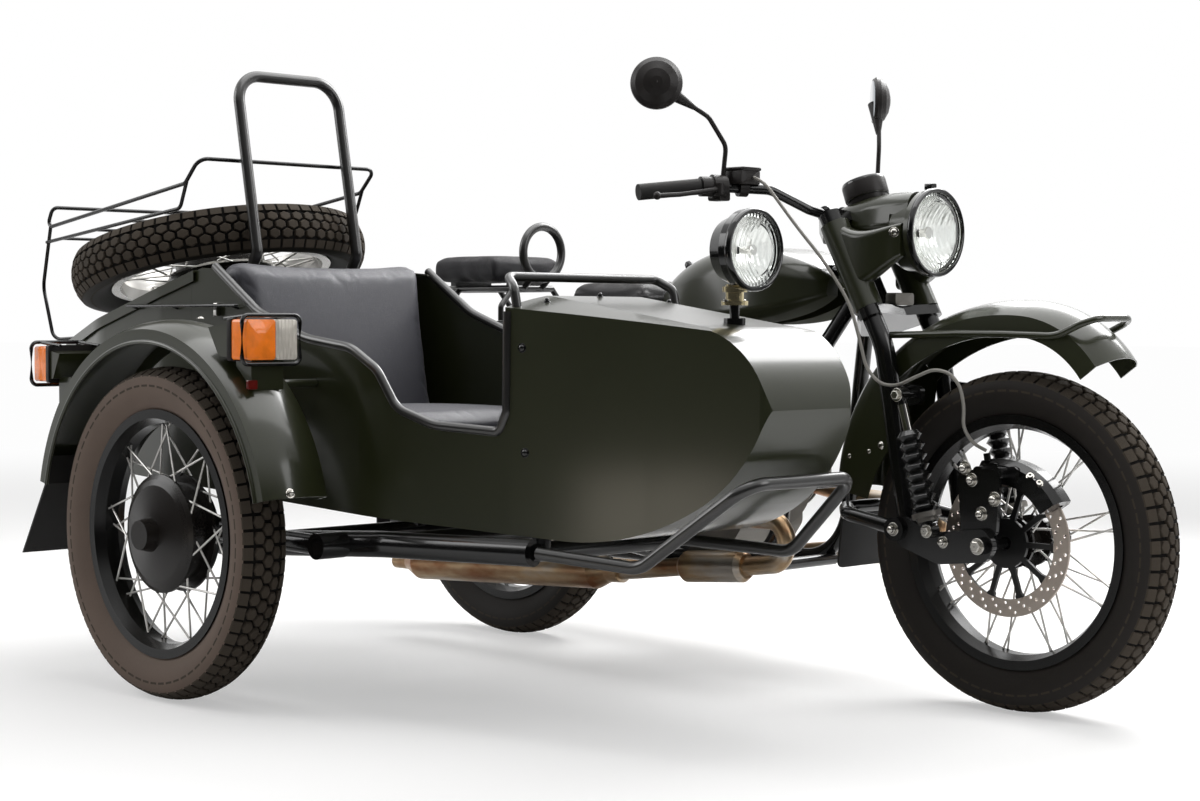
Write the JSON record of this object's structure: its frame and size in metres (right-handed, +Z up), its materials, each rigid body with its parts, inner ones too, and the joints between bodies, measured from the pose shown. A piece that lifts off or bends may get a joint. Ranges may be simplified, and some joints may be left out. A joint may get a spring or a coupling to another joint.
{
  "type": "sidecar motorcycle",
  "caption": "Sidecar motorcycle with wire wheels, leading-link fork, flat-twin engine, open passenger tub, boot lid with spare wheel and luggage rack.",
  "frame": {"origin": "bottom centre of the overall box, on the floor", "axes": "+X forwards, +Y to the machine's left, +Z up; the sidecar is on the right, at negative Y"},
  "size_m": [2.5005, 1.679, 1.3419],
  "materials": {
    "tyre": "matte, block tread",
    "wheel": "satin black rim and hub, chrome spokes",
    "disc_steel": "brushed, drilled",
    "black_enamel": "satin",
    "black_gloss": "gloss",
    "hose_rubber": "braided look, grey",
    "spring_black": "satin",
    "lens": "clear",
    "rubber_black": "matte",
    "black_plastic": "matte",
    "cast_aluminium": "cast, satin",
    "exhaust_steel": "heat-tinted",
    "olive_paint": "gloss",
    "leatherette": "satin grain",
    "brown_leatherette": "satin grain",
    "amber_plastic": "amber lens"
  },
  "bodies": {
    "chassis": {"carburettors": "cast_aluminium", "cockpit_rails": "black_enamel", "engine": "cast_aluminium", "exhaust": "exhaust_steel", "foot_controls": "black_enamel", "fuel_tank": "olive_paint", "gearbox": "cast_aluminium", "left_cylinder": "cast_aluminium", "main_frame": "black_enamel", "nose_guard": "black_enamel", "pillion_pad": "brown_leatherette", "pillion_rail": "black_enamel", "rear_mudguard": "black_enamel", "rear_shocks": "spring_black", "rear_swing_arm": "black_enamel", "rider_saddle": "leatherette", "right_cylinder": "cast_aluminium", "seat_back": "leatherette", "seat_cushion": "leatherette", "side_boxes": "black_enamel", "sidecar_boot": "olive_paint", "sidecar_chassis": "black_enamel", "sidecar_mudflap": "rubber_black", "sidecar_mudguard": "olive_paint", "sidecar_swing_arm": "black_enamel", "sidecar_tub": "olive_paint", "signal_lamps": "amber_plastic", "spot_lamp": "black_gloss", "spot_lamp_lens": "lens", "tail_lamp": "black_plastic"},
    "steering": {"fork": "black_enamel", "front_swing_arm": "black_enamel", "fork_shocks": "spring_black", "front_mudguard": "olive_paint", "headlamp": "olive_paint", "headlamp_lens": "lens", "handlebar": "black_enamel", "grips": "rubber_black", "hand_controls": "black_plastic", "mirrors": "black_plastic", "front_caliper": "black_enamel", "brake_hose": "hose_rubber", "splash_flap": "rubber_black"},
    "front_wheel": {"front_tyre": "tyre", "front_wire_wheel": "wheel", "front_brake_disc": "disc_steel"},
    "rear_wheel": {"rear_tyre": "tyre", "rear_wire_wheel": "wheel"},
    "sidecar_wheel": {"sidecar_tyre": "tyre", "sidecar_wire_wheel": "wheel"},
    "boot_lid": {"boot_lid": "olive_paint", "spare_tyre": "tyre", "spare_wire_wheel": "wheel", "luggage_rack": "black_enamel", "rack_hoop": "black_enamel"}
  },
  "joints": [
    {"name": "steering", "type": "hinge", "parent": "chassis", "child": "steering", "pos_m": [0.45732, 0.39848, 0.959], "axis": [-0.4695, 0, 0.8829], "range_deg": [-38, 38]},
    {"name": "front_wheel_spin", "type": "hinge", "parent": "steering", "child": "front_wheel", "pos_m": [0.90732, 0.39848, 0.343], "axis": [0, 1, 0], "continuous": true},
    {"name": "rear_wheel_spin", "type": "hinge", "parent": "chassis", "child": "rear_wheel", "pos_m": [-0.60268, 0.39848, 0.343], "axis": [0, 1, 0], "continuous": true},
    {"name": "sidecar_wheel_spin", "type": "hinge", "parent": "chassis", "child": "sidecar_wheel", "pos_m": [-0.38268, -0.76152, 0.343], "axis": [0, 1, 0], "continuous": true},
    {"name": "boot_lid_hinge", "type": "hinge", "parent": "chassis", "child": "boot_lid", "pos_m": [-0.50268, -0.30652, 0.905], "axis": [0, 1, 0], "range_deg": [0, 55]}
  ]
}
